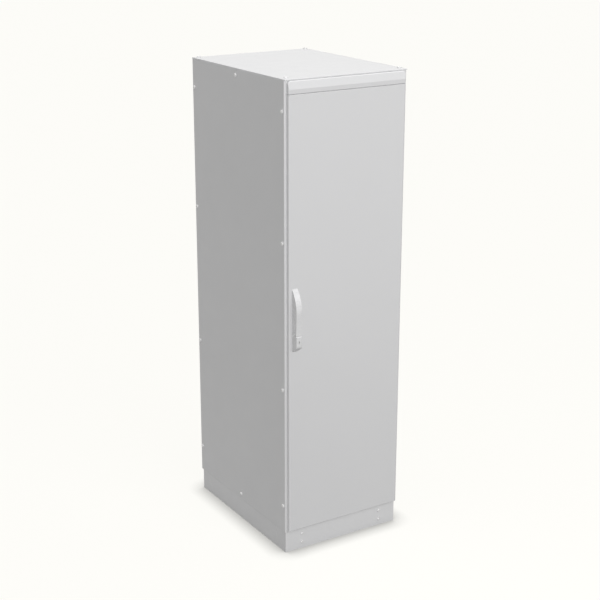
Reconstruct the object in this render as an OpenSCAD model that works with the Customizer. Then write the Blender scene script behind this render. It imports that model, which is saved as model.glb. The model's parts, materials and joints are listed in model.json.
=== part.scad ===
// Floor-standing electrical cabinet: a folded sheet-steel frame on a plinth, closed by screwed side and
// rear panels, a roof plate and one hinged front door with a swing handle that throws two locking rods.
// Millimetres. X runs left to right, Y front to back and Z up. The origin lies on the floor, in the middle
// of the plinth's four floor-fixing holes.

/* [Overall size] */
// Width over the side panels
cab_w = 600; // [540:10:800]
// Depth from the frame's front plane to the rear panel's outer face
body_d = 784; // [560:4:1000]
// Height from the floor to the top of the roof
cab_h = 2100; // [1900:10:2300]

/* [Plinth] */
// Height of the plinth
plinth_h = 100; // [80:5:150]
// Distance that the plinth stands in from the body all round
plinth_inset = 6; // [4:0.5:10]
// Thickness of the plinth's sheet
plinth_t = 2; // [1.5:0.1:3]
// Depth of the side returns on the front and rear plinth pieces
plinth_return = 80; // [70:1:120]
// Width of the plinth's top and bottom flanges
plinth_flange = 50; // [44:1:60]
// Joint gap between plinth pieces
plinth_joint = 1.2; // [0.2:0.1:2]
// Distance of the cover screws from the plinth's middle
plinth_screw_x = 208; // [150:1:215]
// Distance of the cover screws above and below the plinth's mid height
plinth_screw_rise = 21; // [12:1:26]
// Diameter of the floor-fixing holes
floor_hole_d = 14; // [10:0.5:18]
// Diameter of the bolts that hold the frame on the plinth
plinth_bolt_d = 12; // [8:1:14]

/* [Sheet metal] */
// Thickness of the panels' sheet
panel_t = 1.5; // [1:0.1:2]
// Thickness of the frame's sheet
frame_t = 2; // [1.5:0.1:2.5]
// Distance that the side and rear panels stand off the frame
tray_d = 6; // [5:0.5:9]
// Outer bend radius of the panels' upright edges
panel_r = 3; // [2.5:0.1:4]
// Outer bend radius of the panels' top and bottom edges
panel_end_r = 2.2; // [2.1:0.1:4]

/* [Frame] */
// Width of a post across the cabinet
post_w = 30; // [28:1:36]
// Depth of a post along the cabinet
post_d = 60; // [50:1:80]
// Length of a post's inner return
post_return = 20; // [10:1:24]
// Width of the frame rings' inner flanges
rail_flange = 32; // [28:1:40]
// Width of the flange that rests on the plinth
base_flange = 60; // [54:1:70]
// Height of the base frame's upstands between the posts
upstand_h = 26; // [20:1:40]
// Side of the square punchings in the posts
punch_w = 10; // [6:0.5:12]
// Pitch of the punchings
punch_pitch = 50; // [25:5:100]
// Height of the sealing lip round the doorway
lip_d = 6; // [4:0.5:7]

/* [Panel screws] */
// Shank diameter of the panel screws
screw_d = 6; // [4:0.5:8]
// Head diameter of the panel screws
screw_head_d = 17; // [10:0.5:18]
// Head height of the panel screws
screw_head_h = 5; // [3:0.5:6]
// Length of the shank beyond the panel's outer face
screw_grip = 14; // [12:1:20]
// Distance of the screw columns from the panel's edges
screw_edge = 16; // [14:0.5:22]
// Distance of the outermost screws from the panel's ends
screw_end = 126; // [100:1:200]
// Distance of the inner screws from the panel's mid height
screw_inner = 325; // [200:5:450]
// Distance of the middle screws from the panel's top and bottom edges
screw_mid_end = 27; // [24:0.5:36]

/* [Roof] */
// Height of the roof plate above the side panels
roof_h = 5; // [4.5:0.5:10]
// Overhang of the roof plate beyond the frame
roof_over = 6; // [4:0.5:8]
// Radius of the roof plate's upper edges
roof_r = 2; // [1.6:0.1:4]
// Width of the foam seal under the roof plate
roof_seal_w = 8; // [6:0.5:10]
// Diameter of the plugs in the lifting-eye holes
plug_d = 18; // [14:1:20]
// Height of those plugs
plug_h = 6; // [4:0.5:12]
// Distance of the plugs from the cabinet's sides
plug_edge = 22; // [20:0.5:28]

/* [Fascia] */
// Height of the fascia above the door
fascia_h = 52; // [44:1:70]
// Gap between fascia and roof plate
fascia_gap = 2; // [1:0.5:4]
// Height of the fascia's lower band
fascia_band = 18; // [12:1:24]
// Distance that the lower band tapers in
fascia_taper = 1; // [0.5:0.5:4]
// Distance that the upper face leans back
fascia_lean = 6; // [4:0.5:8]
// Chamfer along the fascia's top
fascia_crown = 3.5; // [2:0.5:5]
// Radius of the fascia's upper corners
fascia_r = 14; // [8:1:20]
// Width of the flange folded in along the fascia's back
fascia_flange = 14; // [8:0.5:18]

/* [Door] */
// Width of the frame left showing beside the door
door_reveal = 12; // [10:0.5:14]
// Height of the sill left showing under the door
sill_reveal = 9; // [6:0.5:14]
// Gap between door and fascia
door_gap = 2; // [1.5:0.5:5]
// Distance that the door's face stands in front of the frame
door_proud = 16; // [16:0.5:20]
// Gap between the door's folded edges and the frame
door_clear = 1; // [0.6:0.1:4]
// Thickness of the door's sheet
door_t = 1.5; // [1:0.1:2]
// Radius of the door's vertical edges
door_r = 6; // [3:0.5:6]
// Radius of the door's top and bottom edges
door_end_r = 2.5; // [2.2:0.1:4]

/* [Door seal and stiffener] */
// Distance of the sealing lip in from the door's free edges
seal_edge = 9; // [8:0.5:10]
// Distance of the sealing lip in from the door's hinged edge
seal_edge_hinge = 20; // [19:0.5:22]
// Width of the foam seal
seal_w = 6; // [4:0.5:6]
// Gap left between seal and lip
seal_gap = 0.3; // [0.2:0.1:0.6]
// Width of the stiffening frame's rails
stiff_w = 25; // [20:1:35]
// Depth of the stiffening frame
stiff_d = 18; // [12:1:20]
// Thickness of the stiffening frame's sheet
stiff_t = 1.5; // [1:0.1:2]
// Distance of the stiffening frame from the door's sides
stiff_edge = 50; // [49:1:70]
// Distance of the stiffening frame from the door's ends
stiff_end = 40; // [34:1:80]

/* [Hinges] */
// Distance of the hinge axis in front of the frame
hinge_stand = 5; // [4.8:0.1:5.4]
// Distance of the hinge axis in from the door's edge
hinge_edge = 0.5; // [0.2:0.1:0.8]
// Diameter of the hinge pins
hinge_pin_d = 5; // [4:0.5:6]
// Outer diameter of the hinge knuckles
knuckle_d = 8; // [7.5:0.1:8.4]
// Height of one knuckle
knuckle_h = 30; // [20:1:40]
// Height of one hinge leaf
leaf_h = 60; // [50:1:80]
// Thickness of the hinge leaf on the frame
leaf_t = 3; // [2:0.1:3.2]
// Distance of the end hinges from the door's ends
hinge_end = 200; // [120:5:320]
// Running clearance round the hinge pins
hinge_play = 0.05; // [0.02:0.01:0.08]
// Gap between the two knuckles of a hinge
hinge_gap = 0.4; // [0.3:0.1:0.8]

/* [Handle] */
// Distance of the handle's centre line from the door's edge
handle_edge = 29; // [27:0.5:30]
// Height of the handle's middle above the floor
handle_mid = 1090; // [1000:5:1150]
// Length of the handle's base
handle_h = 278; // [250:1:320]
// Width of the handle
handle_w = 27; // [25:0.5:30]
// Distance that the handle stands out from the door
handle_out = 36; // [34:0.5:44]
// Thickness of the handle's base
base_t = 10; // [6:0.5:11]
// Thickness of the lever
lever_t = 16; // [13:0.5:17]
// Distance that the lever's front leans back at its lower end
lever_lean = 4; // [1:0.5:5]
// Gap between the lever's end and the lock block
lever_gap = 1.2; // [1:0.1:4]
// Height of the lock block under the lever
block_h = 78; // [66:1:90]
// Rise of the lock block's slanted underside
block_rise = 25; // [15:1:30]
// Chamfer along the lock block's upper front edge
block_edge = 4.5; // [1:0.5:6]
// Radius of the lock block's lower front edge
block_r = 18; // [8:1:30]
// Radius of the bow at the handle's upper end
bow_r = 165; // [120:1:180]
// Corner radius of the handle's base and lever
handle_r = 4; // [2:0.5:6]
// Distance of the spindle under the handle's top
spindle_drop = 34; // [32:1:40]
// Distance of the lever's pin under the spindle
lift_drop = 25; // [22:0.5:30]
// Diameter of the lever's knuckle
lift_d = 24; // [20:0.5:26]
// Width of the lever's tongue
tongue_w = 10; // [8:0.5:13]
// Diameter of the lever's pin
lift_pin_d = 5; // [4:0.5:6]
// Diameter of the swivel's neck
neck_d = 20; // [16:0.5:20]
// Diameter of the lock barrel
barrel_d = 14; // [12:0.5:18]
// Distance of the lock barrel under the lock block's top
barrel_drop = 26; // [20:0.5:32]
// Depth of the lock barrel
barrel_h = 14; // [10:0.5:20]

/* [Locking rods] */
// Module of the rack and pinion
gear_m = 1; // [0.9:0.05:1.05]
// Number of teeth on the pinion
gear_teeth = 14; // [13:1:15]
// Width of a rod
rod_w = 7; // [6.8:0.1:7.2]
// Thickness of a rod
rod_t = 4; // [3:0.5:5]
// Distance of the rods behind the frame's front plane
rod_back = 10; // [9:0.5:14]
// Height of the lock case
case_h = 64; // [60:1:80]
// Thickness of the lock case's sheet
case_t = 1.5; // [1:0.1:1.8]
// Side of the square spindle
spindle_w = 8; // [6:0.5:8]
// Sideways play of a rod in its keeper
keeper_play = 1; // [0.8:0.1:1.2]
// Depth of a keeper's fork
keeper_d = 16; // [12:1:18]
// Height of a keeper's fork
keeper_h = 14; // [12:0.5:20]
// Thickness of a keeper
keeper_t = 2; // [1.5:0.1:2.5]
// Gap between a rod's tip and its keeper
tip_gap = 2; // [1:0.1:3]

/* [Floor plates and equipment plate] */
// Width of the cable slot between the floor plates
cable_slot = 40; // [24:2:80]
// Distance of the cable slot's middle from the frame's rear
cable_slot_back = 170; // [150:5:250]
// Overlap of the floor plates on the base frame
plate_lap = 20; // [14:1:26]
// Height of the foam seals in the cable slot
cable_seal_h = 16; // [10:1:25]
// Thickness of the equipment plate
plate_t = 2.5; // [2:0.1:3]
// Distance of the equipment plate's face from the frame's rear
plate_back = 106; // [95:1:200]
// Depth of the equipment plate's folded edges
plate_fold = 20; // [16:1:30]
// Clearance between the equipment plate's sides and the frame
plate_side = 14; // [10:0.5:16]
// Height of the lower depth rails above the base frame
rail_rise = 80; // [50:5:200]
// Width of a depth rail
rail_w = 20; // [18:0.5:22]
// Height of a depth rail
rail_h = 30; // [20:1:40]
// Thickness of a depth rail's sheet
rail_t = 2; // [1.5:0.1:2.5]

/* [Hidden] */
$fn = 48;

// Colours
paint = [0.83, 0.84, 0.82];
plinth_paint = [0.80, 0.81, 0.80];
zinc = [0.70, 0.71, 0.72];
steel = [0.62, 0.63, 0.65];
foam = [0.20, 0.20, 0.21];
pale_plastic = [0.90, 0.90, 0.89];

// Overshoot of a cutting shape past the surface that it cuts
cut = 1;

// Main planes of the body
front_y = -body_d / 2;
rear_y = body_d / 2;
frame_x = cab_w / 2 - tray_d;
frame_rear_y = rear_y - tray_d;
body_top = cab_h - roof_h;

// Plinth outline and its floor holes
plinth_x = cab_w / 2 - plinth_inset;
plinth_y = body_d / 2 - plinth_inset;
floor_x = plinth_x - plinth_flange / 2;
floor_y = plinth_y - plinth_flange / 2;
bolt_y = plinth_y - plinth_return + plinth_bolt_d * 1.2;
plinth_screw_d = 6;
plinth_screw_head_d = 14;
plinth_screw_head_h = 4.5;
plinth_screw_l = 10;
bolt_play = 0.5;
bolt_head_h = plinth_bolt_d * 0.6;
bolt_head_d = plinth_bolt_d * 1.8;

// Door, fascia and sealing lip
fascia_z1 = body_top - fascia_gap;
fascia_z0 = fascia_z1 - fascia_h;
door_z0 = plinth_h + sill_reveal;
door_z1 = fascia_z0 - door_gap;
door_h = door_z1 - door_z0;
door_x = cab_w / 2 - door_reveal;
door_y = front_y - door_proud;
door_in_y = door_y + door_t;
door_return = door_proud - door_clear;
lip_left = -door_x + seal_edge;
lip_right = door_x - seal_edge_hinge;
lip_half = frame_t / 2;
sill_z = door_z0 + seal_edge + lip_half;
head_z = door_z1 - seal_edge - lip_half;

// Panel screws
panel_mid_z = (plinth_h + body_top) / 2;
column_zs = [
    plinth_h + screw_end, panel_mid_z - screw_inner, panel_mid_z + screw_inner, body_top - screw_end
];
middle_zs = [plinth_h + screw_mid_end, body_top - screw_mid_end];
side_screw_ys = [front_y + screw_edge, rear_y - screw_edge];
rear_screw_x = frame_x - screw_edge;
screw_spots_side = concat(
    [for (y = side_screw_ys, z = column_zs) [y, z]],
    [for (z = middle_zs) [0, z]]
);
screw_spots_rear = concat(
    [for (x = [-rear_screw_x, rear_screw_x], z = column_zs) [x, z]],
    [for (z = middle_zs) [0, z]]
);
screw_play = 0.2;
screw_boss_d = screw_head_d;

// Roof plugs
plug_x = cab_w / 2 - plug_edge;
plug_y = body_d / 2 - plug_edge;
plug_shank_d = plug_d * 0.6;
plug_shank_l = 10;
plug_chamfer = 1.5;

// Hinge axis
hinge_x = door_x - hinge_edge;
hinge_y = front_y - hinge_stand;
hinge_zs = [door_z0 + hinge_end, (door_z0 + door_z1) / 2, door_z1 - hinge_end];
hinge_cut = leaf_h + 2;
hinge_neck = 6;
leaf_x0 = lip_right + lip_half + 1;
leaf_x1 = hinge_x + knuckle_d / 4;
door_leaf_x0 = lip_right + seal_w / 2 + 1;
door_leaf_x1 = door_x - door_r;
hinge_screw_d = 5;
hinge_screw_x = (leaf_x0 + hinge_x - knuckle_d / 2) / 2;
hinge_screw_zs = [-leaf_h * 0.62, -leaf_h * 0.85];

// Handle
lock_x = -door_x + handle_edge;
handle_z0 = handle_mid - handle_h / 2;
handle_z1 = handle_mid + handle_h / 2;
spindle_z = handle_z1 - spindle_drop;
lift_z = spindle_z - lift_drop;
lift_v = handle_out - lift_d / 2;
block_z = handle_z0 + block_h;
lever_z0 = block_z + lever_gap;
lever_z1 = lift_z - lift_d * 0.3;
bow_z = handle_z1 - sqrt(handle_out * (2 * bow_r - handle_out));
barrel_z = block_z - barrel_drop;
head_gap = 0.4;
lift_gap = 0.5;
tongue_play = 0.4;
turn_play = 0.05;
barrel_proud = 0.6;
key_w = 1.8;
key_h = barrel_d * 0.6;
key_depth = 8;
handle_screw_d = 5;
handle_screw_l = 6;
handle_screw_head_d = 9;
handle_screw_head_h = 3;
base_screw_z = (handle_z0 + block_z) / 2;

// Rack and pinion
pressure_angle = 25;
pitch_r = gear_m * gear_teeth / 2;
tooth_pitch = PI * gear_m;
addendum = gear_m;
dedendum = 1.25 * gear_m;
backlash = 0.12;
flank_steps = 5;
rod_travel = pitch_r * PI / 2;
rod_y0 = front_y + rod_back - rod_t / 2;
rod_y1 = front_y + rod_back + rod_t / 2;
rod_out = pitch_r + dedendum + rod_w - 2 * gear_m;
rod_in = rod_out - rod_w;
rack_teeth = 9;
rack_long = 6;
rack_half = (tooth_pitch / 2 - backlash) / 2;
rack_top = (rack_long + 0.5) * tooth_pitch;
rod_end = pitch_r + 3;
rod_play = 0.5;
pinion_y0 = rod_y0 - 0.5;
pinion_y1 = rod_y1 + 0.5;
case_x = rod_out + rod_play + case_t;
case_y1 = pinion_y1 + 3 + case_t;
case_foot = 14;
case_screw_z = spindle_z - case_h / 2 - case_foot / 2;
spindle_play = 0.05;
socket_depth = 7;
upper_tip_z = head_z - keeper_t - tip_gap;
lower_tip_z = sill_z + keeper_t + tip_gap;
upper_rod_x = lock_x - (rod_in + rod_out) / 2;
lower_rod_x = lock_x + (rod_in + rod_out) / 2;
keeper_y0 = rod_y0 - (keeper_d - rod_t) / 2;
guide_wall = 2.4;
guide_h = 16;
guide_play = 0.3;
guide_spots = [
    [upper_rod_x, upper_tip_z - 70], [upper_rod_x, (spindle_z + upper_tip_z) / 2],
    [lower_rod_x, (spindle_z + lower_tip_z) / 2], [lower_rod_x, lower_tip_z + 70]
];

// Floor plates and depth rails
floor_plate_z = plinth_h + frame_t;
floor_plate_x = frame_x - base_flange + plate_lap;
floor_plate_y0 = front_y + base_flange - plate_lap;
floor_plate_y1 = frame_rear_y - base_flange + plate_lap;
slot_y = frame_rear_y - cable_slot_back;
floor_screw_d = 4;
floor_screw_head_d = 8;
floor_screw_head_h = 2.8;
floor_screw_inset = plate_lap / 2;
floor_screw_x = floor_plate_x - floor_screw_inset;
rail_x0 = frame_x - frame_t - 8 - rail_w;
rail_x1 = rail_x0 + rail_w;
lower_rail_z = sill_z + rail_rise;
upper_rail_z = head_z - rail_rise - rail_h;
plate_x = frame_x - plate_side;
plate_y = frame_rear_y - plate_back;
plate_z0 = lower_rail_z + rail_h;
plate_z1 = upper_rail_z;
plate_bolt_d = 6;
plate_bolt_x = (rail_x0 + plate_x) / 2;
plate_bolt_y = plate_y + plate_fold * 0.6;
plate_bolt_head_d = 11;
plate_bolt_head_h = 4;

// Box between two opposite corners
module span(low, high) {
    translate(low) cube(high - low);
}

// The children and their mirror image on the other side of the cabinet
module both_sides() {
    children();
    mirror([1, 0, 0]) children();
}

// The children at the four corners of a plan rectangle
module at_corners(x, y) {
    for (sx = [-1, 1], sy = [-1, 1]) translate([sx * x, sy * y, 0]) children();
}

// Cylinder along X from x0 to x1
module rod_x(x0, x1, y, z, d) {
    translate([x0, y, z]) rotate([0, 90, 0]) cylinder(d = d, h = x1 - x0);
}

// Cylinder along Y from y0 to y1
module rod_along_y(y0, y1, x, z, d) {
    translate([x, y1, z]) rotate([90, 0, 0]) cylinder(d = d, h = y1 - y0);
}

// Rectangle whose two corners on the X axis are rounded
module rounded_front(w, d, r) {
    translate([0, r]) square([w, d - r]);
    translate([r, 0]) square([w - 2 * r, d]);
    intersection() {
        square([w, d]);
        for (x = [r, w - r]) translate([x, r]) circle(r = r);
    }
}

// Rectangle with four rounded corners, centred in X
module rounded_rect(w, h, r) {
    translate([-w / 2, r]) square([w, h - 2 * r]);
    translate([r - w / 2, 0]) square([w - 2 * r, h]);
    for (x = [r - w / 2, w / 2 - r], y = [r, h - r]) translate([x, y]) circle(r = r);
}

// Block with rounded edges round its front face, which looks towards -Y
module fronted_block(w, h, d, side_r, end_r) {
    intersection() {
        linear_extrude(height = h) rounded_front(w, d, side_r);
        rotate([90, 0, 90]) linear_extrude(height = w) mirror([1, -1, 0]) rounded_front(h, d, end_r);
    }
}

// Folded tray: a sheet that faces -Y with returns on its four edges
module tray(w, h, d, t, side_r, end_r) {
    difference() {
        fronted_block(w, h, d, side_r, end_r);
        translate([t, t, t]) fronted_block(w - 2 * t, h - 2 * t, d, side_r - t, end_r - t);
    }
}

// Pan-head socket screw along +Y: its head stands in front of Y = 0 and its shank runs behind it
module pan_screw(d, l, head_d, head_h) {
    rotate([-90, 0, 0]) cylinder(d = d, h = l);
    difference() {
        union() {
            rotate([90, 0, 0]) cylinder(d = head_d, h = head_h * 0.7);
            translate([0, -head_h * 0.7, 0]) rotate([90, 0, 0])
                cylinder(d1 = head_d, d2 = head_d * 0.7, h = head_h * 0.3);
        }
        translate([0, -head_h * 0.5, 0]) rotate([90, 0, 0]) cylinder(d = d * 0.65, h = head_h, $fn = 6);
    }
}

// Hexagon bolt along -Z: its head stands on Z = 0
module hex_bolt(d, l, head_d, head_h) {
    cylinder(d = head_d, h = head_h, $fn = 6);
    translate([0, 0, -l]) cylinder(d = d, h = l + cut);
}

// Prism with a side profile drawn as [distance out from the plane y, height], centred on x
module side_prism(x, y, w) {
    translate([x - w / 2, y, 0]) rotate([90, 0, 90]) linear_extrude(height = w)
        mirror([1, 0, 0]) children();
}

// Plinth
module plinth_end() {
    difference() {
        span([-plinth_x, -plinth_y, 0], [plinth_x, plinth_return - plinth_y, plinth_h]);
        span([plinth_t - plinth_x, plinth_t - plinth_y, plinth_t],
             [plinth_x - plinth_t, plinth_return - plinth_y + cut, plinth_h - plinth_t]);
        span([plinth_flange - plinth_x, plinth_flange - plinth_y, -cut],
             [plinth_x - plinth_flange, plinth_return - plinth_y + cut, plinth_h + cut]);
        for (x = [-floor_x, floor_x]) {
            translate([x, -floor_y, -cut]) cylinder(d = floor_hole_d, h = plinth_t + 2 * cut);
            translate([x, -bolt_y, plinth_h - plinth_t - cut])
                cylinder(d = plinth_bolt_d + 2 * bolt_play, h = plinth_t + 2 * cut);
        }
        for (x = [-plinth_screw_x, plinth_screw_x], s = [-1, 1])
            rod_along_y(-plinth_y - cut, plinth_t - plinth_y + cut, x,
                        plinth_h / 2 + s * plinth_screw_rise, plinth_screw_d);
    }
}

module plinth_front() {
    color(plinth_paint) plinth_end();
}

module plinth_rear() {
    color(plinth_paint) mirror([0, 1, 0]) plinth_end();
}

module plinth_side() {
    y = plinth_y - plinth_return - plinth_joint;
    difference() {
        span([-plinth_x, -y, 0], [plinth_flange - plinth_x, y, plinth_h]);
        span([plinth_t - plinth_x, -y - cut, plinth_t],
             [plinth_flange - plinth_x + cut, y + cut, plinth_h - plinth_t]);
    }
}

module plinth_side_left() {
    color(plinth_paint) plinth_side();
}

module plinth_side_right() {
    color(plinth_paint) mirror([1, 0, 0]) plinth_side();
}

module plinth_screws() {
    color(steel) for (flip = [0, 1], x = [-plinth_screw_x, plinth_screw_x], s = [-1, 1])
        mirror([0, flip, 0]) translate([x, -plinth_y, plinth_h / 2 + s * plinth_screw_rise])
            pan_screw(plinth_screw_d, plinth_screw_l, plinth_screw_head_d, plinth_screw_head_h);
}

module plinth_bolts() {
    shank = frame_t + plinth_t + bolt_head_h;
    color(zinc) at_corners(floor_x, bolt_y) {
        translate([0, 0, plinth_h + frame_t]) hex_bolt(plinth_bolt_d, shank, bolt_head_d, bolt_head_h);
        translate([0, 0, plinth_h - plinth_t - bolt_head_h])
            cylinder(d = bolt_head_d, h = bolt_head_h, $fn = 6);
    }
}

// Frame
// Ring of C section with its open side inwards
module frame_ring(z0, z1, low_flange, high_flange) {
    difference() {
        span([-frame_x, front_y, z0], [frame_x, frame_rear_y, z1]);
        span([frame_t - frame_x, front_y + frame_t, z0 + frame_t],
             [frame_x - frame_t, frame_rear_y - frame_t, z1 - frame_t]);
        span([low_flange - frame_x, front_y + low_flange, z0 - cut],
             [frame_x - low_flange, frame_rear_y - low_flange, z0 + frame_t + cut]);
        span([high_flange - frame_x, front_y + high_flange, z1 - frame_t - cut],
             [frame_x - high_flange, frame_rear_y - high_flange, z1 + cut]);
    }
}

// Sealing lip across the doorway
module cross_lip(z) {
    span([lip_left - lip_half, front_y - lip_d, z - lip_half],
         [lip_right + lip_half, front_y + frame_t, z + lip_half]);
}

// Holes for the panel screws through the frame
module frame_screw_holes() {
    for (spot = screw_spots_side)
        both_sides() rod_x(-frame_x - cut, frame_t - frame_x + cut, spot[0], spot[1], screw_d);
    for (spot = screw_spots_rear)
        rod_along_y(frame_rear_y - frame_t - cut, frame_rear_y + cut, spot[0], spot[1], screw_d);
}

module base_frame() {
    color(paint) difference() {
        union() {
            frame_ring(plinth_h, sill_z, base_flange, rail_flange);
            cross_lip(sill_z - lip_half);
            both_sides() span([-frame_x, front_y + post_d, sill_z - frame_t],
                              [frame_t - frame_x, frame_rear_y - post_d, sill_z + upstand_h]);
            span([post_w - frame_x, frame_rear_y - frame_t, sill_z - frame_t],
                 [frame_x - post_w, frame_rear_y, sill_z + upstand_h]);
        }
        frame_screw_holes();
        at_corners(floor_x, bolt_y) translate([0, 0, plinth_h - cut])
            cylinder(d = plinth_bolt_d + 2 * bolt_play, h = frame_t + 2 * cut);
        for (y = floor_screw_ys, x = [-floor_screw_x, floor_screw_x])
            translate([x, y, plinth_h - cut]) cylinder(d = floor_screw_d, h = frame_t + 2 * cut);
    }
}

module roof_frame() {
    color(paint) difference() {
        union() {
            frame_ring(head_z, body_top, rail_flange, rail_flange);
            cross_lip(head_z + lip_half);
        }
        frame_screw_holes();
        at_corners(plug_x, plug_y) translate([0, 0, body_top - frame_t - cut])
            cylinder(d = plug_shank_d + 2 * screw_play, h = frame_t + 2 * cut);
    }
}

// Plan of a left front post whose sealing lip stands at lip_x
module front_post_plan(lip_x) {
    translate([-frame_x, front_y]) square([lip_x + lip_half + frame_x, frame_t]);
    translate([lip_x - lip_half, front_y - lip_d]) square([frame_t, lip_d + frame_t]);
    translate([-frame_x, front_y]) square([frame_t, post_d]);
    translate([-frame_x, front_y + post_d - frame_t]) square([post_w, frame_t]);
    translate([post_w - frame_x - frame_t, front_y + post_d - post_return]) square([frame_t, post_return]);
}

module rear_post_plan() {
    translate([-frame_x, frame_rear_y - post_d]) square([frame_t, post_d]);
    translate([-frame_x, frame_rear_y - frame_t]) square([post_w, frame_t]);
    translate([-frame_x, frame_rear_y - post_d]) square([post_w, frame_t]);
    translate([post_w - frame_x - frame_t, frame_rear_y - post_return]) square([frame_t, post_return]);
}

// Post on the left, with square punchings in the flange at flange_y and in its side wall at side_y
module post(flange_y, side_y) {
    holes = floor((head_z - sill_z - punch_pitch) / punch_pitch);
    first_z = (sill_z + head_z - (holes - 1) * punch_pitch) / 2;
    flange_x = frame_t - frame_x + (post_w - 2 * frame_t - punch_w) / 2;
    difference() {
        translate([0, 0, sill_z]) linear_extrude(height = head_z - sill_z) children();
        frame_screw_holes();
        for (i = [0 : holes - 1]) translate([0, 0, first_z + i * punch_pitch - punch_w / 2]) {
            span([flange_x, flange_y - cut, 0], [flange_x + punch_w, flange_y + frame_t + cut, punch_w]);
            span([-frame_x - cut, side_y - punch_w / 2, 0],
                 [frame_t - frame_x + cut, side_y + punch_w / 2, punch_w]);
        }
    }
}

module front_post(lip_x) {
    post(front_y + post_d - frame_t, front_y + post_d * 0.6) front_post_plan(lip_x);
}

module rear_post() {
    post(frame_rear_y - post_d, frame_rear_y - post_d * 0.6) rear_post_plan();
}

module front_left_post() {
    color(paint) front_post(lip_left);
}

module front_right_post() {
    color(paint) difference() {
        mirror([1, 0, 0]) front_post(-lip_right);
        for (z = hinge_zs, dz = hinge_screw_zs)
            rod_along_y(front_y - cut, front_y + frame_t + cut, hinge_screw_x, z + dz, hinge_screw_d);
    }
}

module rear_left_post() {
    color(paint) rear_post();
}

module rear_right_post() {
    color(paint) mirror([1, 0, 0]) rear_post();
}

// Outer panels
module side_panel() {
    color(paint) difference() {
        union() {
            translate([-cab_w / 2, front_y, plinth_h]) mirror([1, -1, 0])
                tray(body_d, body_top - plinth_h, tray_d, panel_t, panel_r, panel_end_r);
            for (spot = screw_spots_side)
                rod_x(panel_t - cab_w / 2 - panel_t / 2, -frame_x, spot[0], spot[1], screw_boss_d);
        }
        for (spot = screw_spots_side)
            rod_x(-cab_w / 2 - cut, cut - frame_x, spot[0], spot[1], screw_d + 2 * screw_play);
    }
}

module left_side_panel() {
    side_panel();
}

module right_side_panel() {
    mirror([1, 0, 0]) side_panel();
}

module rear_panel() {
    w = 2 * (frame_x - screw_play);
    color(paint) difference() {
        union() {
            translate([-w / 2, rear_y, plinth_h]) mirror([0, 1, 0])
                tray(w, body_top - plinth_h, tray_d, panel_t, panel_r, panel_end_r);
            for (spot = screw_spots_rear)
                rod_along_y(frame_rear_y, rear_y - panel_t / 2, spot[0], spot[1], screw_boss_d);
        }
        for (spot = screw_spots_rear)
            rod_along_y(frame_rear_y - cut, rear_y + cut, spot[0], spot[1], screw_d + 2 * screw_play);
    }
}

module side_panel_screws() {
    color(steel) for (spot = screw_spots_side) translate([-cab_w / 2, spot[0], spot[1]])
        rotate([0, 0, -90]) pan_screw(screw_d, screw_grip, screw_head_d, screw_head_h);
}

module left_panel_screws() {
    side_panel_screws();
}

module right_panel_screws() {
    mirror([1, 0, 0]) side_panel_screws();
}

module rear_panel_screws() {
    color(steel) for (spot = screw_spots_rear) translate([spot[0], rear_y, spot[1]])
        mirror([0, 1, 0]) pan_screw(screw_d, screw_grip, screw_head_d, screw_head_h);
}

// Roof
module roof_panel() {
    x = frame_x + roof_over;
    y = frame_rear_y + roof_over;
    y0 = front_y - roof_over;
    color(paint) difference() {
        translate([-x, y0, cab_h]) rotate([-90, 0, 0])
            fronted_block(2 * x, y - y0, roof_h, roof_r, roof_r);
        span([panel_t - x, y0 + panel_t, body_top - cut], [x - panel_t, y - panel_t, cab_h - panel_t]);
        at_corners(plug_x, plug_y) translate([0, 0, body_top])
            cylinder(d = plug_shank_d + 2 * screw_play, h = roof_h + cut);
    }
}

module roof_seal() {
    color(foam) difference() {
        span([rail_flange - roof_seal_w - frame_x, front_y + rail_flange - roof_seal_w, body_top],
             [frame_x - rail_flange + roof_seal_w, frame_rear_y - rail_flange + roof_seal_w,
              cab_h - panel_t]);
        span([rail_flange - frame_x, front_y + rail_flange, body_top - cut],
             [frame_x - rail_flange, frame_rear_y - rail_flange, cab_h]);
    }
}

module roof_plugs() {
    color(pale_plastic) at_corners(plug_x, plug_y) {
        translate([0, 0, cab_h]) {
            cylinder(d = plug_d, h = plug_h - plug_chamfer);
            translate([0, 0, plug_h - plug_chamfer])
                cylinder(d1 = plug_d, d2 = plug_d - 2 * plug_chamfer, h = plug_chamfer);
        }
        translate([0, 0, cab_h - plug_shank_l]) cylinder(d = plug_shank_d, h = plug_shank_l);
    }
}

// Fascia over the door
module fascia_profile(t, back) {
    out = door_proud - t;
    polygon([
        [back, fascia_z0 + t],
        [out - fascia_taper, fascia_z0 + t],
        [out, fascia_z0 + fascia_band],
        [out - fascia_lean, fascia_z1 - fascia_crown],
        [out - fascia_lean - fascia_crown + t, fascia_z1 - t],
        [back, fascia_z1 - t]
    ]);
}

// The fascia's form set in by t, with rounded ends and upper corners, its back moved on by back
module fascia_form(t, back) {
    w = 2 * (door_x - t);
    d = door_proud - t + back;
    intersection() {
        side_prism(0, front_y, w) fascia_profile(t, -back);
        translate([-w / 2, door_y + t, fascia_z0])
            linear_extrude(height = fascia_h) rounded_front(w, d, door_r - t);
        translate([-w / 2, door_y + t, fascia_z1 - t]) rotate([-90, 0, 0])
            linear_extrude(height = d) rounded_front(w, fascia_h - t, fascia_r - t);
    }
}

module top_fascia() {
    edge = panel_t + fascia_flange;
    color(paint) difference() {
        fascia_form(0, 0);
        fascia_form(panel_t, -panel_t);
        span([edge - door_x, front_y - panel_t - cut, fascia_z0 + edge],
             [door_x - edge, front_y + cut, fascia_z1 - edge]);
    }
}

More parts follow.
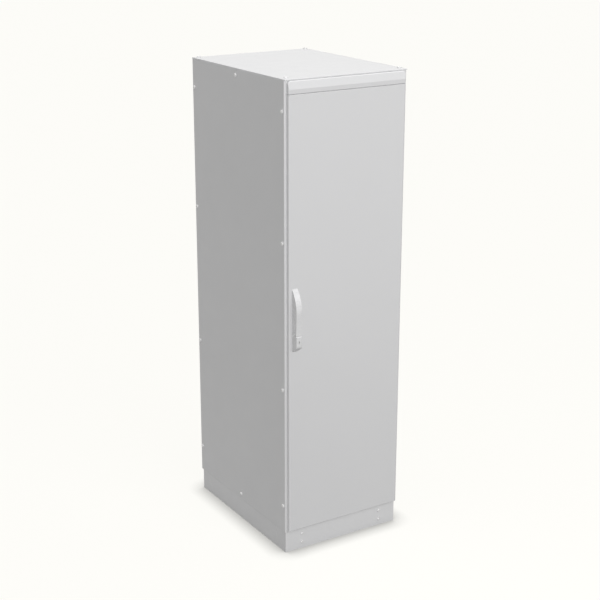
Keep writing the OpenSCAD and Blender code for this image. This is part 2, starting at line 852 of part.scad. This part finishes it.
// Floor plates and cable seals
front_plate_ys = [floor_plate_y0, slot_y - cable_slot / 2];
rear_plate_ys = [slot_y + cable_slot / 2, floor_plate_y1];
floor_screw_ys = [
    floor_plate_y0 + base_flange, slot_y - cable_slot / 2 - base_flange,
    slot_y + cable_slot / 2 + floor_screw_inset, floor_plate_y1 - base_flange
];

module floor_plate(ys) {
    color(zinc) difference() {
        span([-floor_plate_x, ys[0], floor_plate_z], [floor_plate_x, ys[1], floor_plate_z + panel_t]);
        for (y = floor_screw_ys, x = [-floor_screw_x, floor_screw_x])
            translate([x, y, floor_plate_z - cut])
                cylinder(d = floor_screw_d + 2 * screw_play, h = panel_t + 2 * cut);
    }
}

module front_floor_plate() {
    floor_plate(front_plate_ys);
}

module rear_floor_plate() {
    floor_plate(rear_plate_ys);
}

// Foam strip that fills one half of the cable slot and lies on the base frame's flanges
module cable_seal(y) {
    color(foam) span([-floor_plate_x, y, floor_plate_z],
                     [floor_plate_x, y + cable_slot / 2, floor_plate_z + cable_seal_h]);
}

module front_cable_seal() {
    cable_seal(slot_y - cable_slot / 2);
}

module rear_cable_seal() {
    cable_seal(slot_y);
}

module floor_plate_screws() {
    color(zinc) for (y = floor_screw_ys, x = [-floor_screw_x, floor_screw_x])
        translate([x, y, floor_plate_z + panel_t]) rotate([-90, 0, 0])
            pan_screw(floor_screw_d, frame_t + panel_t, floor_screw_head_d, floor_screw_head_h);
}

// Equipment plate on its depth rails
module equipment_plate() {
    color(zinc) difference() {
        span([-plate_x, plate_y, plate_z0], [plate_x, plate_y + plate_fold, plate_z1]);
        span([plate_t - plate_x, plate_y + plate_t, plate_z0 + plate_t],
             [plate_x - plate_t, plate_y + plate_fold + cut, plate_z1 - plate_t]);
        for (z = [plate_z0, plate_z1 - plate_t], x = [-plate_bolt_x, plate_bolt_x])
            translate([x, plate_bolt_y, z - cut])
                cylinder(d = plate_bolt_d + 2 * screw_play, h = plate_t + 2 * cut);
    }
}

// C-section depth rail on the left with its web towards the side panel
module depth_rail(z) {
    y0 = front_y + post_d;
    y1 = frame_rear_y - post_d;
    color(zinc) difference() {
        span([-rail_x1, y0, z], [-rail_x0, y1, z + rail_h]);
        span([rail_t - rail_x1, y0 - cut, z + rail_t], [cut - rail_x0, y1 + cut, z + rail_h - rail_t]);
        translate([-plate_bolt_x, plate_bolt_y, z - cut])
            cylinder(d = plate_bolt_d + 2 * screw_play, h = rail_h + 2 * cut);
    }
}

module lower_left_rail() {
    depth_rail(lower_rail_z);
}

module lower_right_rail() {
    mirror([1, 0, 0]) depth_rail(lower_rail_z);
}

module upper_left_rail() {
    depth_rail(upper_rail_z);
}

module upper_right_rail() {
    mirror([1, 0, 0]) depth_rail(upper_rail_z);
}

module equipment_plate_bolts() {
    shank = plate_t + rail_t + plate_bolt_head_h;
    color(zinc) both_sides() translate([-plate_bolt_x, plate_bolt_y, 0]) {
        translate([0, 0, plate_z0 + plate_t])
            hex_bolt(plate_bolt_d, shank, plate_bolt_head_d, plate_bolt_head_h);
        translate([0, 0, plate_z1 - plate_t]) mirror([0, 0, 1])
            hex_bolt(plate_bolt_d, shank, plate_bolt_head_d, plate_bolt_head_h);
    }
}

// Door
module door_panel() {
    color(paint) difference() {
        translate([-door_x, door_y, door_z0])
            tray(2 * door_x, door_h, door_return, door_t, door_r, door_end_r);
        for (z = hinge_zs)
            span([door_x - door_t - cut, door_y + door_r + hinge_gap, z - hinge_cut],
                 [door_x + cut, door_y + door_return + cut, z + hinge_cut]);
        rod_along_y(door_y - cut, door_in_y + cut, lock_x, spindle_z, neck_d + 2 * cut);
        for (z = [base_screw_z, case_screw_z])
            rod_along_y(door_y - cut, door_in_y + cut, lock_x, z, handle_screw_d + 2 * screw_play);
    }
}

// Ring of channel section, open towards the door's sheet
module door_stiffener() {
    x = door_x - stiff_edge;
    z0 = door_z0 + stiff_end;
    z1 = door_z1 - stiff_end;
    y1 = door_in_y + stiff_d;
    holes = floor((z1 - z0 - 2 * stiff_w) / punch_pitch);
    first_z = (z0 + z1 - (holes - 1) * punch_pitch) / 2;
    color(zinc) difference() {
        span([-x, door_in_y, z0], [x, y1, z1]);
        span([stiff_w - x, door_in_y - cut, z0 + stiff_w], [x - stiff_w, y1 + cut, z1 - stiff_w]);
        difference() {
            span([stiff_t - x, door_in_y - cut, z0 + stiff_t], [x - stiff_t, y1 - stiff_t, z1 - stiff_t]);
            span([stiff_w - stiff_t - x, door_in_y - 2 * cut, z0 + stiff_w - stiff_t],
                 [x - stiff_w + stiff_t, y1, z1 - stiff_w + stiff_t]);
        }
        for (i = [0 : holes - 1]) both_sides()
            span([(stiff_w - punch_w) / 2 - x, y1 - stiff_t - cut, first_z + i * punch_pitch - punch_w / 2],
                 [(stiff_w + punch_w) / 2 - x, y1 + cut, first_z + i * punch_pitch + punch_w / 2]);
    }
}

// Foam ring that the sealing lip presses on
module door_seal() {
    y1 = front_y - lip_d - seal_gap;
    z0 = sill_z - lip_half;
    z1 = head_z + lip_half;
    h = seal_w / 2;
    color(foam) difference() {
        span([lip_left - h, door_in_y, z0 - h], [lip_right + h, y1, z1 + h]);
        span([lip_left + h, door_in_y - cut, z0 + h], [lip_right - h, y1 + cut, z1 - h]);
    }
}

// Hinges
module frame_hinge(z) {
    color(zinc) difference() {
        union() {
            span([leaf_x0, front_y - leaf_t, z - leaf_h], [leaf_x1, front_y, z]);
            span([hinge_x - knuckle_d / 2, hinge_y, z - knuckle_h], [leaf_x1, front_y - leaf_t / 2, z]);
            translate([hinge_x, hinge_y, z - knuckle_h]) cylinder(d = knuckle_d, h = knuckle_h);
        }
        translate([hinge_x, hinge_y, z - knuckle_h - cut]) cylinder(d = hinge_pin_d, h = knuckle_h + 2 * cut);
        for (dz = hinge_screw_zs) translate([hinge_screw_x, front_y - leaf_t, z + dz]) rotate([-90, 0, 0]) {
            translate([0, 0, -cut]) cylinder(d = hinge_screw_d, h = leaf_t + 2 * cut);
            cylinder(d1 = 2 * hinge_screw_d, d2 = hinge_screw_d, h = hinge_screw_d / 2);
        }
    }
}

module frame_hinge_bottom() {
    frame_hinge(hinge_zs[0]);
}

module frame_hinge_middle() {
    frame_hinge(hinge_zs[1]);
}

module frame_hinge_top() {
    frame_hinge(hinge_zs[2]);
}

module door_hinge(z) {
    color(zinc) translate([0, 0, z + hinge_gap]) difference() {
        union() {
            span([door_leaf_x0, door_in_y, 0], [door_leaf_x1, hinge_y + hinge_neck / 2, leaf_h]);
            span([door_leaf_x1 - cut, hinge_y - hinge_neck / 2, 0],
                 [hinge_x, hinge_y + hinge_neck / 2, knuckle_h]);
            translate([hinge_x, hinge_y, 0]) cylinder(d = knuckle_d, h = knuckle_h);
        }
        translate([hinge_x, hinge_y, -cut])
            cylinder(d = hinge_pin_d + 2 * hinge_play, h = knuckle_h + 2 * cut);
    }
}

module door_hinge_bottom() {
    door_hinge(hinge_zs[0]);
}

module door_hinge_middle() {
    door_hinge(hinge_zs[1]);
}

module door_hinge_top() {
    door_hinge(hinge_zs[2]);
}

module hinge_pin(z) {
    color(steel) translate([hinge_x, hinge_y, z - knuckle_h])
        cylinder(d = hinge_pin_d, h = 2 * knuckle_h + hinge_gap);
}

module hinge_pin_bottom() {
    hinge_pin(hinge_zs[0]);
}

module hinge_pin_middle() {
    hinge_pin(hinge_zs[1]);
}

module hinge_pin_top() {
    hinge_pin(hinge_zs[2]);
}

module hinge_screws() {
    color(zinc) for (z = hinge_zs, dz = hinge_screw_zs)
        translate([hinge_screw_x, front_y - leaf_t, z + dz]) rotate([-90, 0, 0]) difference() {
            union() {
                cylinder(d1 = 2 * hinge_screw_d, d2 = hinge_screw_d, h = hinge_screw_d / 2);
                cylinder(d = hinge_screw_d, h = leaf_t + frame_t + hinge_screw_d);
            }
            translate([0, 0, -cut]) cylinder(d = hinge_screw_d * 0.7, h = cut + hinge_screw_d / 3, $fn = 6);
        }
}

// Handle
// Upright rounded bar that bounds the handle seen from above
module handle_bar() {
    translate([lock_x - handle_w / 2, door_y - handle_out, handle_z0])
        linear_extrude(height = handle_h) rounded_front(handle_w, handle_out, handle_r);
}

// Side view that bounds the handle: straight below and bowed back to the door at its upper end
module bow() {
    translate([handle_out - bow_r, bow_z]) circle(r = bow_r);
    translate([0, handle_z0]) square([handle_out, bow_z - handle_z0]);
}

// Side view of the handle, with the bow above and the slanted underside of the lock block
module handle_side() {
    lean = atan2(block_rise, handle_out);
    reach = block_r * tan(45 - lean / 2);
    z = handle_z0 + block_rise;
    tail = [handle_out - reach * cos(lean), z - reach * sin(lean)];
    intersection() {
        bow();
        difference() {
            polygon([[0, handle_z0], [handle_out, z], [handle_out, handle_z1], [0, handle_z1]]);
            difference() {
                polygon([
                    [handle_out, z + reach], [handle_out + cut, z + reach], [handle_out + cut, handle_z0],
                    tail + cut * [sin(lean), -cos(lean)], tail
                ]);
                translate([handle_out - block_r, z + reach]) circle(r = block_r);
            }
        }
    }
}

module handle_base() {
    color(pale_plastic) difference() {
        intersection() {
            union() {
                translate([lock_x, door_y, handle_z0]) rotate([90, 0, 0])
                    linear_extrude(height = base_t) rounded_rect(handle_w, handle_h, handle_r);
                intersection() {
                    side_prism(lock_x, door_y, handle_w) polygon([
                        [0, handle_z0], [handle_out, handle_z0], [handle_out, block_z - block_edge],
                        [handle_out - block_edge, block_z], [0, block_z]
                    ]);
                    handle_bar();
                }
            }
            side_prism(lock_x, door_y, handle_w) handle_side();
        }
        rod_along_y(door_y - base_t - cut, door_y + cut, lock_x, spindle_z, neck_d + 2 * turn_play);
        rod_along_y(door_y - handle_out - cut, door_y - handle_out + barrel_h, lock_x, barrel_z,
                    barrel_d + 2 * turn_play);
        for (z = [base_screw_z, case_screw_z])
            rod_along_y(door_y - handle_screw_l, door_y + cut, lock_x, z, handle_screw_d);
    }
}

// Swivel head: the bowed upper end of the handle, forked for the lever
module handle_head() {
    color(pale_plastic) difference() {
        union() {
            intersection() {
                side_prism(lock_x, door_y, handle_w) intersection() {
                    union() {
                        translate([base_t + head_gap, lift_z]) square([handle_out, handle_h]);
                        translate([lift_v, lift_z]) circle(d = lift_d);
                    }
                    bow();
                }
                handle_bar();
            }
            rod_along_y(door_y - base_t - head_gap - cut, door_in_y + cut, lock_x, spindle_z, neck_d);
        }
        rod_x(lock_x - tongue_w / 2 - tongue_play, lock_x + tongue_w / 2 + tongue_play,
              door_y - lift_v, lift_z, lift_d + 2 * tongue_play);
        rod_x(lock_x - handle_w, lock_x + handle_w, door_y - lift_v, lift_z, lift_pin_d);
        span([lock_x - spindle_w / 2 - spindle_play, door_in_y + cut - socket_depth,
              spindle_z - spindle_w / 2 - spindle_play],
             [lock_x + spindle_w / 2 + spindle_play, door_in_y + 2 * cut,
              spindle_z + spindle_w / 2 + spindle_play]);
    }
}

module lever_side() {
    v0 = handle_out - lever_t;
    polygon([
        [v0, lever_z0], [handle_out - lever_lean, lever_z0], [handle_out, bow_z],
        [handle_out, lever_z1], [v0, lever_z1]
    ]);
}

module handle_lever() {
    color(pale_plastic) difference() {
        intersection() {
            union() {
                side_prism(lock_x, door_y, handle_w) difference() {
                    lever_side();
                    translate([lift_v, lift_z]) circle(d = lift_d + 2 * lift_gap);
                }
                side_prism(lock_x, door_y, tongue_w) {
                    lever_side();
                    translate([lift_v, lift_z]) circle(d = lift_d);
                }
            }
            side_prism(lock_x, door_y, handle_w) bow();
            handle_bar();
        }
        rod_x(lock_x - handle_w, lock_x + handle_w, door_y - lift_v, lift_z, lift_pin_d + 2 * turn_play);
    }
}

module handle_pin() {
    color(steel) rod_x(lock_x - handle_w / 2 + cut, lock_x + handle_w / 2 - cut,
                       door_y - lift_v, lift_z, lift_pin_d);
}

// Lock barrel with a flat keyway
module lock_barrel() {
    y0 = door_y - handle_out - barrel_proud;
    color(steel) difference() {
        rod_along_y(y0, door_y - handle_out + barrel_h, lock_x, barrel_z, barrel_d);
        span([lock_x - key_w / 2, y0 - cut, barrel_z - key_h / 2],
             [lock_x + key_w / 2, y0 + key_depth, barrel_z + key_h / 2]);
    }
}

module handle_screws() {
    color(zinc) for (spot = [[base_screw_z, door_in_y], [case_screw_z, door_in_y + case_t]])
        translate([lock_x, spot[1], spot[0]]) mirror([0, 1, 0])
            pan_screw(handle_screw_d, spot[1] - door_y + handle_screw_l,
                      handle_screw_head_d, handle_screw_head_h);
}

// Lock case, spindle, pinion and rods
module lock_case() {
    z0 = spindle_z - case_h / 2;
    z1 = spindle_z + case_h / 2;
    color(zinc) difference() {
        union() {
            span([lock_x - case_x, door_in_y, z0], [lock_x + case_x, case_y1, z1]);
            span([lock_x - case_x, door_in_y, z0 - case_foot],
                 [lock_x + case_x, door_in_y + case_t, z1 + case_foot]);
        }
        span([lock_x - case_x + case_t, door_in_y - cut, z0 + case_t],
             [lock_x + case_x - case_t, case_y1 - case_t, z1 - case_t]);
        for (x = [upper_rod_x, lower_rod_x])
            span([x - rod_w / 2 - rod_play, rod_y0 - rod_play, z0 - cut],
                 [x + rod_w / 2 + rod_play, rod_y1 + rod_play, z1 + cut]);
        rod_along_y(door_in_y - cut, door_in_y + case_t + cut, lock_x, case_screw_z,
                    handle_screw_d + 2 * screw_play);
    }
}

module lock_spindle() {
    color(steel) span([lock_x - spindle_w / 2, door_in_y + cut - socket_depth, spindle_z - spindle_w / 2],
                      [lock_x + spindle_w / 2, pinion_y1 + cut, spindle_z + spindle_w / 2]);
}

// Angle that the involute has unwound, in degrees, at pressure angle a
function involute(a) = tan(a) * 180 / PI - a;

// Half the angle that a pinion tooth fills at radius r
function tooth_half(r) =
    (tooth_pitch / 2 - backlash) / (2 * pitch_r) * 180 / PI
    + involute(pressure_angle) - involute(acos(min(1, pitch_r * cos(pressure_angle) / r)));

base_r = pitch_r * cos(pressure_angle);
flank_rs = [for (i = [0 : flank_steps]) base_r + (pitch_r + addendum - base_r) * i / flank_steps];
tooth_outline = concat(
    [[pitch_r - dedendum, tooth_half(base_r)]],
    [for (r = flank_rs) [r, tooth_half(r)]],
    [for (i = [flank_steps : -1 : 0]) [flank_rs[i], -tooth_half(flank_rs[i])]],
    [[pitch_r - dedendum, -tooth_half(base_r)]]
);

module lock_pinion() {
    w = spindle_w + 2 * spindle_play;
    color(steel) translate([lock_x, pinion_y1, spindle_z]) rotate([90, 0, 0])
        linear_extrude(height = pinion_y1 - pinion_y0) difference() {
            polygon([for (k = [0 : gear_teeth - 1], p = tooth_outline)
                p[0] * [cos(p[1] - k * 360 / gear_teeth), -sin(p[1] - k * 360 / gear_teeth)]]);
            square([w, w], center = true);
        }
}

// One rack tooth at height z as outline points from top to bottom
function rack_tooth(z) = [
    [pitch_r + dedendum, z + rack_half + dedendum * tan(pressure_angle)],
    [pitch_r - addendum, z + rack_half - addendum * tan(pressure_angle)],
    [pitch_r - addendum, z - rack_half + addendum * tan(pressure_angle)],
    [pitch_r + dedendum, z - rack_half - dedendum * tan(pressure_angle)]
];

// Rod on the pinion's right, seen from the front, with its rack towards the pinion; its rack end is at
// height -rod_end and it runs up to tip
module rack_rod(tip) {
    linear_extrude(height = rod_t) polygon(concat(
        [[pitch_r + dedendum, -rod_end], [rod_out, -rod_end], [rod_out, tip], [rod_in, tip]],
        [[rod_in, rack_top], [pitch_r + dedendum, rack_top]],
        [for (i = [1 : rack_teeth], p = rack_tooth((rack_long - i + 0.5) * tooth_pitch)) p]
    ));
}

module upper_rod() {
    color(zinc) translate([lock_x, rod_y1, spindle_z]) mirror([1, 0, 0]) rotate([90, 0, 0])
        rack_rod(upper_tip_z - spindle_z);
}

module lower_rod() {
    color(zinc) translate([lock_x, rod_y1, spindle_z]) mirror([0, 0, 1]) rotate([90, 0, 0])
        rack_rod(spindle_z - lower_tip_z);
}

module rod_guides() {
    x = rod_w / 2 + guide_play;
    color(foam) for (spot = guide_spots) translate([spot[0], 0, spot[1] - guide_h / 2]) difference() {
        span([-x - guide_wall, door_in_y, 0], [x + guide_wall, rod_y1 + guide_play + guide_wall, guide_h]);
        span([-x, rod_y0 - guide_play, -cut], [x, rod_y1 + guide_play, guide_h + cut]);
    }
}

// Forked keeper that stands on Z = 0 and takes a rod's tip between its cheeks
module keeper() {
    inner = rod_w / 2 + keeper_play;
    color(zinc) difference() {
        span([-inner - keeper_t, keeper_y0, 0], [inner + keeper_t, keeper_y0 + keeper_d, keeper_h]);
        span([-inner, keeper_y0 - cut, keeper_t], [inner, keeper_y0 + keeper_d + cut, keeper_h + cut]);
    }
}

module top_keeper() {
    translate([upper_rod_x, 0, head_z]) mirror([0, 0, 1]) keeper();
}

module bottom_keeper() {
    translate([lower_rod_x, 0, sill_z]) keeper();
}

plinth_front();
plinth_rear();
plinth_side_left();
plinth_side_right();
plinth_screws();
plinth_bolts();
base_frame();
roof_frame();
front_left_post();
front_right_post();
rear_left_post();
rear_right_post();
left_side_panel();
right_side_panel();
rear_panel();
left_panel_screws();
right_panel_screws();
rear_panel_screws();
roof_panel();
roof_seal();
roof_plugs();
top_fascia();
front_floor_plate();
rear_floor_plate();
front_cable_seal();
rear_cable_seal();
floor_plate_screws();
equipment_plate();
lower_left_rail();
lower_right_rail();
upper_left_rail();
upper_right_rail();
equipment_plate_bolts();
door_panel();
door_stiffener();
door_seal();
frame_hinge_bottom();
frame_hinge_middle();
frame_hinge_top();
door_hinge_bottom();
door_hinge_middle();
door_hinge_top();
hinge_pin_bottom();
hinge_pin_middle();
hinge_pin_top();
hinge_screws();
handle_base();
handle_head();
handle_lever();
handle_pin();
lock_barrel();
handle_screws();
lock_case();
lock_spindle();
lock_pinion();
upper_rod();
lower_rod();
rod_guides();
top_keeper();
bottom_keeper();
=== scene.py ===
"""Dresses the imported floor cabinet: camera, studio light, floor and surface finishes."""

import json
import math

import bpy
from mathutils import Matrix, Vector

# Camera, in pixels of the square picture and metres
PICTURE_SIDE = 600
FOCAL_PX = 1307.4
SENSOR_MM = 36
AZIMUTH = -31.78
ELEVATION = 17.77
DISTANCE = 5.9566
AIM = Vector((0, 0, 1.05))
AXIS_OFFSET_PX = (-3.85, -5.48)

# Light: each sun's level is the brightness it gives a white surface that faces it
AMBIENT = 0.46
SUNS = [
    {
        "name": "key_sun",
        "place": Vector((-0.475, -0.785, 0.40)),
        "level": 0.505,
        "softness": 20,
        "shadow": False,
    },
    {
        "name": "top_sun",
        "place": Vector((0, 0, 1)),
        "level": 0.64,
        "softness": 5,
        "shadow": True,
    },
]
LAMP_PLACE = Vector((0.2, -3.2, 2.4))
LAMP_AIM = Vector((0, -0.4, 1.6))
LAMP_SIDE = 1.6
LAMP_WATTS = 30

# Floor and backdrop
BACKDROP = (0.991, 0.983, 0.947)
FLOOR_COLOR = 0.15
FLOOR_GLOW = 0.793
FLOOR_SIDE = 60
# Reach of the painted contact shadow: how far from the object ambient occlusion darkens the floor's glow
PAINTED_SHADOW_REACH = 0.09

# Finishes: the middle range of a noise that is used, its detail, and how much finer gloss is than colour
NOISE_LOW = 0.3
NOISE_HIGH = 0.7
PATCH_DETAIL = 4.0
GLOSS_DETAIL = 3.0
GRAIN_DETAIL = 2.0
GLOSS_FINER = 9


def make_camera():
    azimuth = math.radians(AZIMUTH)
    elevation = math.radians(ELEVATION)
    back = Vector((
        math.sin(azimuth) * math.cos(elevation),
        -math.cos(azimuth) * math.cos(elevation),
        math.sin(elevation),
    ))
    data = bpy.data.cameras.new("camera")
    data.sensor_width = SENSOR_MM
    data.lens = FOCAL_PX * SENSOR_MM / PICTURE_SIDE
    data.shift_x = -AXIS_OFFSET_PX[0] / PICTURE_SIDE
    data.shift_y = AXIS_OFFSET_PX[1] / PICTURE_SIDE
    camera = bpy.data.objects.new("camera", data)
    camera.location = AIM + back * DISTANCE
    aim_along(camera, -back)
    bpy.context.scene.collection.objects.link(camera)
    bpy.context.scene.camera = camera


def aim_along(thing, direction):
    thing.rotation_mode = "QUATERNION"
    thing.rotation_quaternion = direction.to_track_quat("-Z", "Y")


def seen_directly(tree):
    """Socket that is 1 for rays from the camera, a mirror or glass, and 0 for light on a surface."""
    path = tree.nodes.new("ShaderNodeLightPath")
    both = tree.nodes.new("ShaderNodeMath")
    both.operation = "MAXIMUM"
    tree.links.new(path.outputs["Is Camera Ray"], both.inputs[0])
    tree.links.new(path.outputs["Is Glossy Ray"], both.inputs[1])
    every = tree.nodes.new("ShaderNodeMath")
    every.operation = "MAXIMUM"
    tree.links.new(both.outputs[0], every.inputs[0])
    tree.links.new(path.outputs["Is Transmission Ray"], every.inputs[1])
    return every.outputs[0]


def make_world():
    world = bpy.data.worlds.new("studio")
    world.use_nodes = True
    tree = world.node_tree
    tree.nodes.clear()
    light = tree.nodes.new("ShaderNodeBackground")
    light.inputs["Color"].default_value = (1, 1, 1, 1)
    light.inputs["Strength"].default_value = AMBIENT
    backdrop = tree.nodes.new("ShaderNodeBackground")
    backdrop.inputs["Color"].default_value = (*BACKDROP, 1)
    mix = tree.nodes.new("ShaderNodeMixShader")
    output = tree.nodes.new("ShaderNodeOutputWorld")
    tree.links.new(seen_directly(tree), mix.inputs[0])
    tree.links.new(light.outputs[0], mix.inputs[1])
    tree.links.new(backdrop.outputs[0], mix.inputs[2])
    tree.links.new(mix.outputs[0], output.inputs["Surface"])
    bpy.context.scene.world = world


def make_lamps():
    for row in SUNS:
        data = bpy.data.lights.new(row["name"], "SUN")
        data.energy = row["level"] * math.pi
        data.angle = math.radians(row["softness"])
        data.use_shadow = row["shadow"]
        sun = bpy.data.objects.new(row["name"], data)
        aim_along(sun, -row["place"])
        bpy.context.scene.collection.objects.link(sun)
    data = bpy.data.lights.new("soft_box", "AREA")
    data.size = LAMP_SIDE
    data.energy = LAMP_WATTS
    lamp = bpy.data.objects.new("soft_box", data)
    lamp.location = LAMP_PLACE
    aim_along(lamp, LAMP_AIM - LAMP_PLACE)
    bpy.context.scene.collection.objects.link(lamp)


def make_floor():
    """Pale floor that looks like the backdrop and darkens softly close to the object, where ambient
    occlusion darkens its glow: a painted contact shadow.
    """
    half = FLOOR_SIDE / 2
    mesh = bpy.data.meshes.new("floor")
    corners = [(-half, -half, 0), (half, -half, 0), (half, half, 0), (-half, half, 0)]
    mesh.from_pydata(corners, [], [range(len(corners))])
    floor = bpy.data.objects.new("floor", mesh)
    bpy.context.scene.collection.objects.link(floor)
    material = bpy.data.materials.new("floor")
    material.use_nodes = True
    tree = material.node_tree
    tree.nodes.clear()
    matte = tree.nodes.new("ShaderNodeBsdfDiffuse")
    matte.inputs["Color"].default_value = (*[FLOOR_COLOR * c for c in BACKDROP], 1)
    glow = tree.nodes.new("ShaderNodeEmission")
    # Painted contact shadow: ambient occlusion darkens the floor's glow close to the object
    painted_shadow = tree.nodes.new("ShaderNodeAmbientOcclusion")
    painted_shadow.inputs["Color"].default_value = (*BACKDROP, 1)
    painted_shadow.inputs["Distance"].default_value = PAINTED_SHADOW_REACH
    tree.links.new(painted_shadow.outputs["Color"], glow.inputs["Color"])
    strength = tree.nodes.new("ShaderNodeMath")
    strength.operation = "MULTIPLY"
    strength.inputs[1].default_value = FLOOR_GLOW
    tree.links.new(seen_directly(tree), strength.inputs[0])
    tree.links.new(strength.outputs[0], glow.inputs["Strength"])
    both = tree.nodes.new("ShaderNodeAddShader")
    tree.links.new(matte.outputs[0], both.inputs[0])
    tree.links.new(glow.outputs[0], both.inputs[1])
    output = tree.nodes.new("ShaderNodeOutputMaterial")
    tree.links.new(both.outputs[0], output.inputs["Surface"])
    mesh.materials.append(material)


def texture(tree, kind, scale, detail):
    """Output of a noise or Voronoi texture on the object's own coordinates, scale in features per metre."""
    place = tree.nodes.new("ShaderNodeTexCoord")
    pattern = tree.nodes.new("ShaderNodeTexVoronoi" if kind == "cells" else "ShaderNodeTexNoise")
    pattern.inputs["Scale"].default_value = scale
    if kind == "noise":
        pattern.inputs["Detail"].default_value = detail
    tree.links.new(place.outputs["Object"], pattern.inputs["Vector"])
    return pattern.outputs["Distance" if kind == "cells" else "Fac"]


def ranged(tree, value, low, high):
    """The middle range of a noise, spread from low to high."""
    spread = tree.nodes.new("ShaderNodeMapRange")
    spread.inputs["From Min"].default_value = NOISE_LOW
    spread.inputs["From Max"].default_value = NOISE_HIGH
    spread.inputs["To Min"].default_value = low
    spread.inputs["To Max"].default_value = high
    tree.links.new(value, spread.inputs["Value"])
    return spread.outputs["Result"]


def finish(name, color, vary, roughness, grain, patch=1.7, metallic=0.0, kind="noise"):
    """Surface with slow colour patches, uneven gloss and a fine bumped grain.

    vary is the share by which the colour changes, roughness its low and high value, grain the bump's
    features per metre and its height in metres, and patch the colour patches per metre.
    """
    material = bpy.data.materials.new(name)
    material.use_nodes = True
    tree = material.node_tree
    surface = tree.nodes["Principled BSDF"]
    surface.inputs["Metallic"].default_value = metallic
    tint = tree.nodes.new("ShaderNodeMix")
    tint.data_type = "RGBA"
    tint.inputs["A"].default_value = (*[c * (1 - vary) for c in color], 1)
    tint.inputs["B"].default_value = (*[min(1, c * (1 + vary)) for c in color], 1)
    patches = ranged(tree, texture(tree, "noise", patch, PATCH_DETAIL), 0, 1)
    tree.links.new(patches, tint.inputs["Factor"])
    tree.links.new(tint.outputs["Result"], surface.inputs["Base Color"])
    gloss = ranged(tree, texture(tree, "noise", patch * GLOSS_FINER, GLOSS_DETAIL), *roughness)
    tree.links.new(gloss, surface.inputs["Roughness"])
    bump = tree.nodes.new("ShaderNodeBump")
    bump.inputs["Distance"].default_value = grain[1]
    bump.inputs["Strength"].default_value = 1.0
    tree.links.new(texture(tree, kind, grain[0], GRAIN_DETAIL), bump.inputs["Height"])
    tree.links.new(bump.outputs["Normal"], surface.inputs["Normal"])
    return material


def make_finishes():
    """One finish for each material slot of the record."""
    return {
        "grey_powder_coat": finish(
            "powder_coat", (0.58, 0.58, 0.587), vary=0.010, roughness=(0.46, 0.54), grain=(520, 0.00006),
        ),
        # Plinth paint, partly painted light: lighter than the body's powder coat to make up for the lower
        # light the plinth gets near the floor
        "plinth_coat": finish(
            "plinth_coat", (0.615, 0.615, 0.622), vary=0.015, roughness=(0.46, 0.56), grain=(520, 0.00007),
        ),
        "coated_screw": finish(
            "coated_screw", (0.64, 0.64, 0.64), vary=0.02, roughness=(0.40, 0.50), grain=(700, 0.00005),
            patch=60, metallic=0.3,
        ),
        "zinc_plate": finish(
            "zinc", (0.62, 0.63, 0.64), vary=0.07, roughness=(0.30, 0.46), grain=(160, 0.00003),
            patch=38, metallic=1.0, kind="cells",
        ),
        "bright_steel": finish(
            "steel", (0.56, 0.57, 0.58), vary=0.05, roughness=(0.22, 0.34), grain=(900, 0.00002),
            patch=80, metallic=1.0,
        ),
        "black_foam": finish(
            "foam", (0.03, 0.03, 0.032), vary=0.2, roughness=(0.82, 0.95), grain=(900, 0.0004),
            patch=30, kind="cells",
        ),
        "black_plastic": finish(
            "guide_plastic", (0.035, 0.035, 0.037), vary=0.1, roughness=(0.42, 0.52), grain=(1200, 0.00004),
            patch=40,
        ),
        "pale_plastic": finish(
            "handle_plastic", (0.60, 0.60, 0.606), vary=0.012, roughness=(0.24, 0.30), grain=(1300, 0.00003),
            patch=25,
        ),
    }


def dress_nodes(nodes, record):
    finishes = make_finishes()
    for part in record["subparts"]:
        mesh = nodes[part["node"]].data
        mesh.materials.clear()
        mesh.materials.append(finishes[part["material_slot"]])


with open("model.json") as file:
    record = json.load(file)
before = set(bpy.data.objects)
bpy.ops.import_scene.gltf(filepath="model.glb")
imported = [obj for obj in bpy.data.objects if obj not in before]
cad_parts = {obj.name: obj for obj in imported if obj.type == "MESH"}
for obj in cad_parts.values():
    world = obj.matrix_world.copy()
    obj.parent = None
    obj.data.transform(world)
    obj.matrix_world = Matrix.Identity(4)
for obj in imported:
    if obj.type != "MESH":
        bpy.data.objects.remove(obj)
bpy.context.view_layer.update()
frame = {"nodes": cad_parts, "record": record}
bpy.context.scene.view_settings.view_transform = "Standard"
make_camera()
make_world()
make_lamps()
make_floor()
dress_nodes(frame["nodes"], frame["record"])
